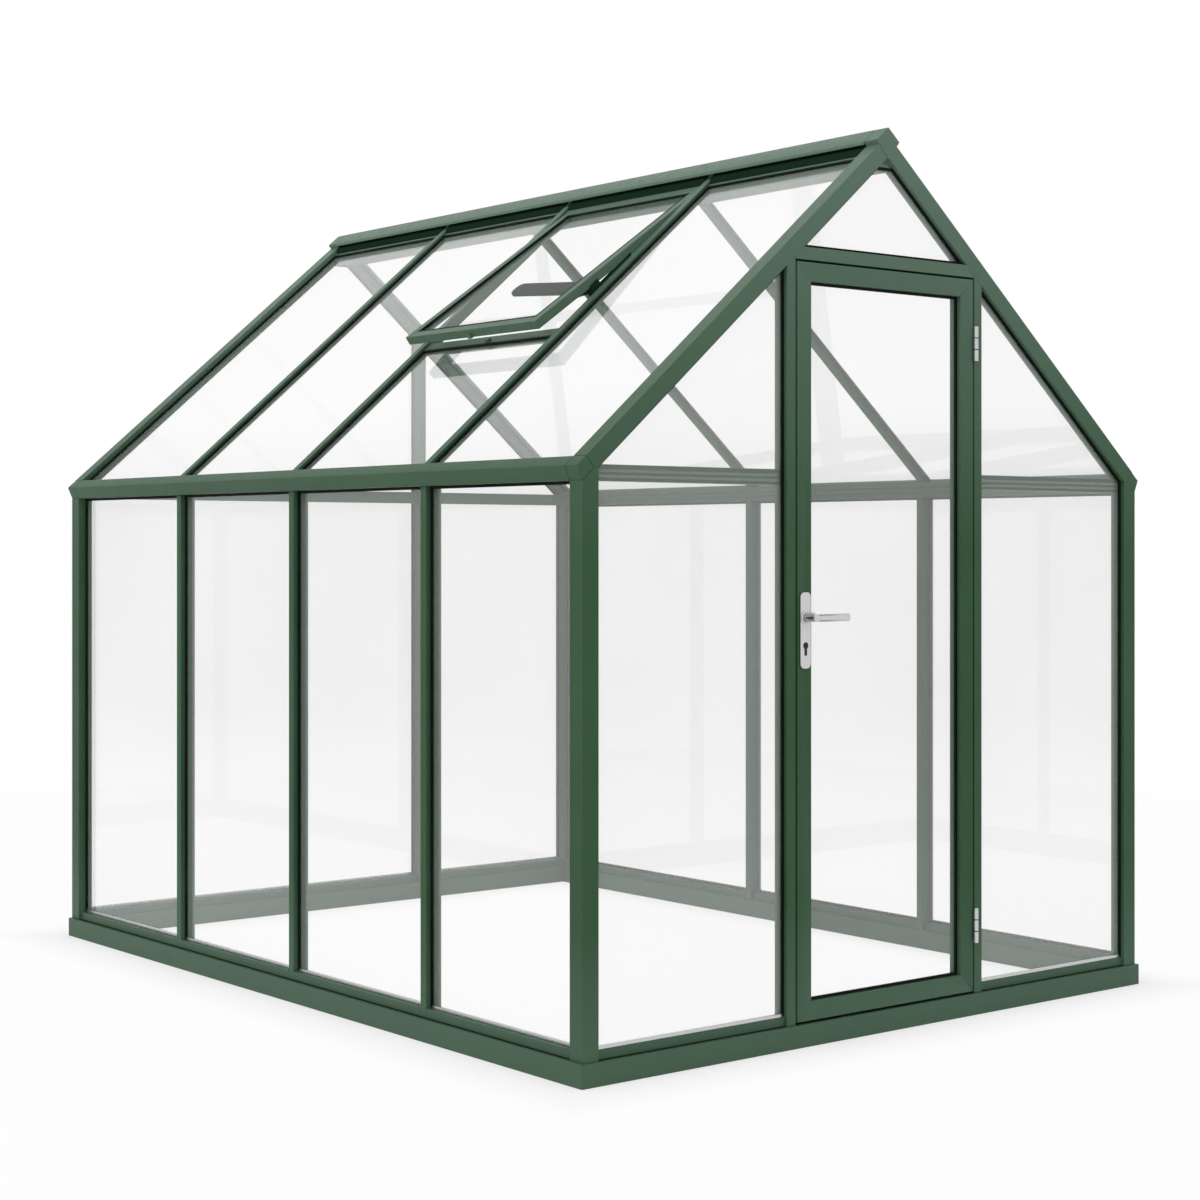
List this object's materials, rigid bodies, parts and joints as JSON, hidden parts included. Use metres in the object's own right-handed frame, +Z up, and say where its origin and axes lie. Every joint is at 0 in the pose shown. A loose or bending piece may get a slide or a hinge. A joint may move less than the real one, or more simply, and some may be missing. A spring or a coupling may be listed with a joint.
{
  "type": "greenhouse",
  "caption": "Small apex greenhouse: green metal frame on a low base rail, clear glass walls and roof, a hinged glazed door in the gable end and a roof vent standing ajar.",
  "frame": {"origin": "centre of the base rail's outline, on the ground", "axes": "+Z up, -Y the door end that faces outward, +X to the right of someone facing the door, +Y along the ridge to the back"},
  "size_m": [1.964, 2.5976, 2.243],
  "materials": {
    "frame_green": "satin powder coat",
    "opener_green": "satin powder coat",
    "glass": "clear",
    "handle_steel": "satin",
    "hinge_steel": "satin",
    "lock_metal": "satin"
  },
  "bodies": {
    "frame": {"back_cill_rails": "frame_green", "back_gable_glass": "glass", "back_transoms": "frame_green", "back_wall_bar": "frame_green", "base_end_rails": "frame_green", "base_side_rails": "frame_green", "corner_posts": "frame_green", "door_head": "frame_green", "door_jambs": "frame_green", "eaves_end_blocks": "frame_green", "frame_hinge_leaves": "hinge_steel", "front_cill_rails": "frame_green", "front_gable_glass": "glass", "front_transoms": "frame_green", "gable_rafters": "frame_green", "left_cill_rails": "frame_green", "left_eaves_rail": "frame_green", "left_roof_bars": "frame_green", "left_roof_glass": "glass", "left_wall_bars": "frame_green", "left_wall_glass": "glass", "ridge_beam": "frame_green", "ridge_end_blocks": "frame_green", "right_cill_rails": "frame_green", "right_eaves_rail": "frame_green", "right_roof_bars": "frame_green", "right_roof_glass": "glass", "right_wall_bars": "frame_green", "right_wall_glass": "glass", "vent_catches": "frame_green", "vent_cill": "frame_green", "vent_glass": "glass", "vent_opener": "opener_green", "vent_rails": "frame_green", "vent_stiles": "frame_green"},
    "door": {"door_hinge_stile": "frame_green", "door_lock_stile": "frame_green", "door_top_rail": "frame_green", "door_bottom_rail": "frame_green", "door_glass": "glass", "handle_plates": "handle_steel", "lock_cylinder": "lock_metal", "door_hinge_leaves": "hinge_steel"},
    "door_handle": {"door_lever": "handle_steel"}
  },
  "joints": [
    {"name": "door_hinge", "type": "hinge", "parent": "frame", "child": "door", "pos_m": [0.3134, -1.2795, 1], "axis": [0, 0, 1], "range_deg": [0, 110]},
    {"name": "handle_turn", "type": "hinge", "parent": "door", "child": "door_handle", "pos_m": [-0.2878, -1.252, 1.031], "axis": [0, 1, 0], "range_deg": [0, 40], "stiffness_Nm_per_rad": 1.5, "springref_deg": -20.05}
  ]
}
